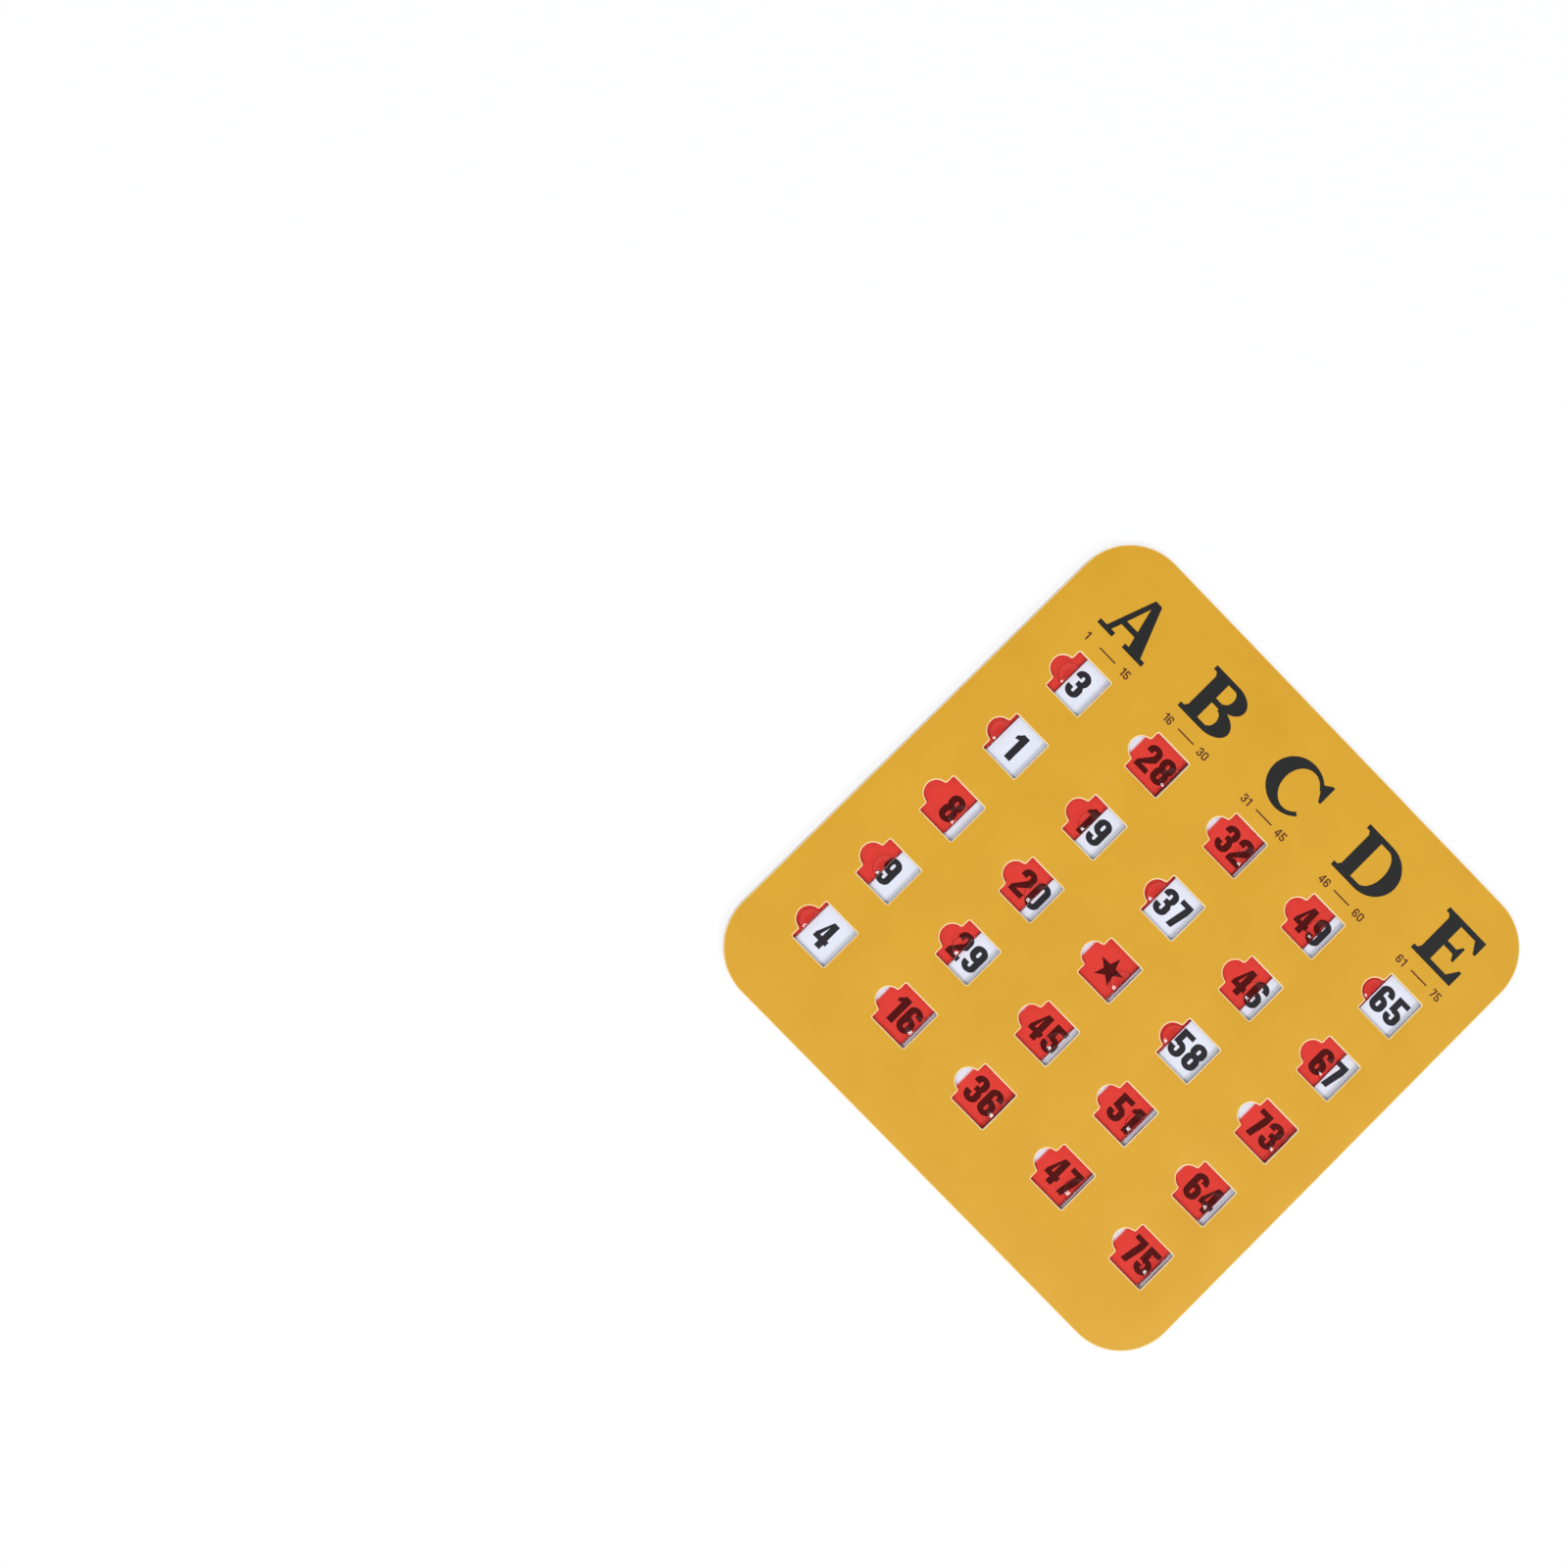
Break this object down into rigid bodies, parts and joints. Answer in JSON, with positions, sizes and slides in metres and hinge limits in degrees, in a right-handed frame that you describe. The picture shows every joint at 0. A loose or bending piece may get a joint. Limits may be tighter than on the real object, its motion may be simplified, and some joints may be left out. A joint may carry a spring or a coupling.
{
  "type": "bingo card",
  "caption": "Flat laminated game card with rounded corners, numbered windows in a grid and see-through plastic shutters that slide over them.",
  "frame": {"origin": "middle of the back face, on the surface that the card lies on", "axes": "+X to the right along a row of numbers, +Y up the columns towards the heading, +Z out of the face"},
  "size_m": [0.1906, 0.1916, 0.0034],
  "materials": {
    "board": "matte",
    "number_paper": "matte",
    "face_paper": "satin",
    "shutter_plastic": "gloss"
  },
  "bodies": {
    "card": {"back_board": "board", "number_sheet": "number_paper", "guide_board": "board", "front_board": "board", "face_sheet": "face_paper"},
    "shutter_r1_c1": {"shutter_r1_c1": "shutter_plastic"},
    "shutter_r1_c2": {"shutter_r1_c2": "shutter_plastic"},
    "shutter_r1_c3": {"shutter_r1_c3": "shutter_plastic"},
    "shutter_r1_c4": {"shutter_r1_c4": "shutter_plastic"},
    "shutter_r1_c5": {"shutter_r1_c5": "shutter_plastic"},
    "shutter_r2_c1": {"shutter_r2_c1": "shutter_plastic"},
    "shutter_r2_c2": {"shutter_r2_c2": "shutter_plastic"},
    "shutter_r2_c3": {"shutter_r2_c3": "shutter_plastic"},
    "shutter_r2_c4": {"shutter_r2_c4": "shutter_plastic"},
    "shutter_r2_c5": {"shutter_r2_c5": "shutter_plastic"},
    "shutter_r3_c1": {"shutter_r3_c1": "shutter_plastic"},
    "shutter_r3_c2": {"shutter_r3_c2": "shutter_plastic"},
    "shutter_r3_c3": {"shutter_r3_c3": "shutter_plastic"},
    "shutter_r3_c4": {"shutter_r3_c4": "shutter_plastic"},
    "shutter_r3_c5": {"shutter_r3_c5": "shutter_plastic"},
    "shutter_r4_c1": {"shutter_r4_c1": "shutter_plastic"},
    "shutter_r4_c2": {"shutter_r4_c2": "shutter_plastic"},
    "shutter_r4_c3": {"shutter_r4_c3": "shutter_plastic"},
    "shutter_r4_c4": {"shutter_r4_c4": "shutter_plastic"},
    "shutter_r4_c5": {"shutter_r4_c5": "shutter_plastic"},
    "shutter_r5_c1": {"shutter_r5_c1": "shutter_plastic"},
    "shutter_r5_c2": {"shutter_r5_c2": "shutter_plastic"},
    "shutter_r5_c3": {"shutter_r5_c3": "shutter_plastic"},
    "shutter_r5_c4": {"shutter_r5_c4": "shutter_plastic"},
    "shutter_r5_c5": {"shutter_r5_c5": "shutter_plastic"}
  },
  "joints": [
    {"name": "slide_r1_c1", "type": "slide", "parent": "card", "child": "shutter_r1_c1", "axis": [1, 0, 0], "range_m": [-0.00317, 0.01063]},
    {"name": "slide_r1_c2", "type": "slide", "parent": "card", "child": "shutter_r1_c2", "axis": [1, 0, 0], "range_m": [-0.01339, 0.00041]},
    {"name": "slide_r1_c3", "type": "slide", "parent": "card", "child": "shutter_r1_c3", "axis": [1, 0, 0], "range_m": [-0.01283, 0.00097]},
    {"name": "slide_r1_c4", "type": "slide", "parent": "card", "child": "shutter_r1_c4", "axis": [1, 0, 0], "range_m": [-0.0098, 0.004]},
    {"name": "slide_r1_c5", "type": "slide", "parent": "card", "child": "shutter_r1_c5", "axis": [1, 0, 0], "range_m": [-0.00028, 0.01352]},
    {"name": "slide_r2_c1", "type": "slide", "parent": "card", "child": "shutter_r2_c1", "axis": [1, 0, 0], "range_m": [-0.00083, 0.01297]},
    {"name": "slide_r2_c2", "type": "slide", "parent": "card", "child": "shutter_r2_c2", "axis": [1, 0, 0], "range_m": [-0.00538, 0.00842]},
    {"name": "slide_r2_c3", "type": "slide", "parent": "card", "child": "shutter_r2_c3", "axis": [1, 0, 0], "range_m": [-0.00069, 0.01311]},
    {"name": "slide_r2_c4", "type": "slide", "parent": "card", "child": "shutter_r2_c4", "axis": [1, 0, 0], "range_m": [-0.00938, 0.00442]},
    {"name": "slide_r2_c5", "type": "slide", "parent": "card", "child": "shutter_r2_c5", "axis": [1, 0, 0], "range_m": [-0.00787, 0.00593]},
    {"name": "slide_r3_c1", "type": "slide", "parent": "card", "child": "shutter_r3_c1", "axis": [1, 0, 0], "range_m": [-0.01049, 0.00331]},
    {"name": "slide_r3_c2", "type": "slide", "parent": "card", "child": "shutter_r3_c2", "axis": [1, 0, 0], "range_m": [-0.00925, 0.00455]},
    {"name": "slide_r3_c3", "type": "slide", "parent": "card", "child": "shutter_r3_c3", "axis": [1, 0, 0], "range_m": [-0.0127, 0.0011]},
    {"name": "slide_r3_c4", "type": "slide", "parent": "card", "child": "shutter_r3_c4", "axis": [1, 0, 0], "range_m": [-0.00069, 0.01311]},
    {"name": "slide_r3_c5", "type": "slide", "parent": "card", "child": "shutter_r3_c5", "axis": [1, 0, 0], "range_m": [-0.0138, 0]},
    {"name": "slide_r4_c1", "type": "slide", "parent": "card", "child": "shutter_r4_c1", "axis": [1, 0, 0], "range_m": [-0.00524, 0.00856]},
    {"name": "slide_r4_c2", "type": "slide", "parent": "card", "child": "shutter_r4_c2", "axis": [1, 0, 0], "range_m": [-0.00511, 0.00869]},
    {"name": "slide_r4_c3", "type": "slide", "parent": "card", "child": "shutter_r4_c3", "axis": [1, 0, 0], "range_m": [-0.01173, 0.00207]},
    {"name": "slide_r4_c4", "type": "slide", "parent": "card", "child": "shutter_r4_c4", "axis": [1, 0, 0], "range_m": [-0.01228, 0.00152]},
    {"name": "slide_r4_c5", "type": "slide", "parent": "card", "child": "shutter_r4_c5", "axis": [1, 0, 0], "range_m": [-0.01173, 0.00207]},
    {"name": "slide_r5_c1", "type": "slide", "parent": "card", "child": "shutter_r5_c1", "axis": [1, 0, 0], "range_m": [-0.00083, 0.01297]},
    {"name": "slide_r5_c2", "type": "slide", "parent": "card", "child": "shutter_r5_c2", "axis": [1, 0, 0], "range_m": [-0.0127, 0.0011]},
    {"name": "slide_r5_c3", "type": "slide", "parent": "card", "child": "shutter_r5_c3", "axis": [1, 0, 0], "range_m": [-0.0138, 0]},
    {"name": "slide_r5_c4", "type": "slide", "parent": "card", "child": "shutter_r5_c4", "axis": [1, 0, 0], "range_m": [-0.01297, 0.00083]},
    {"name": "slide_r5_c5", "type": "slide", "parent": "card", "child": "shutter_r5_c5", "axis": [1, 0, 0], "range_m": [-0.0127, 0.0011]}
  ]
}
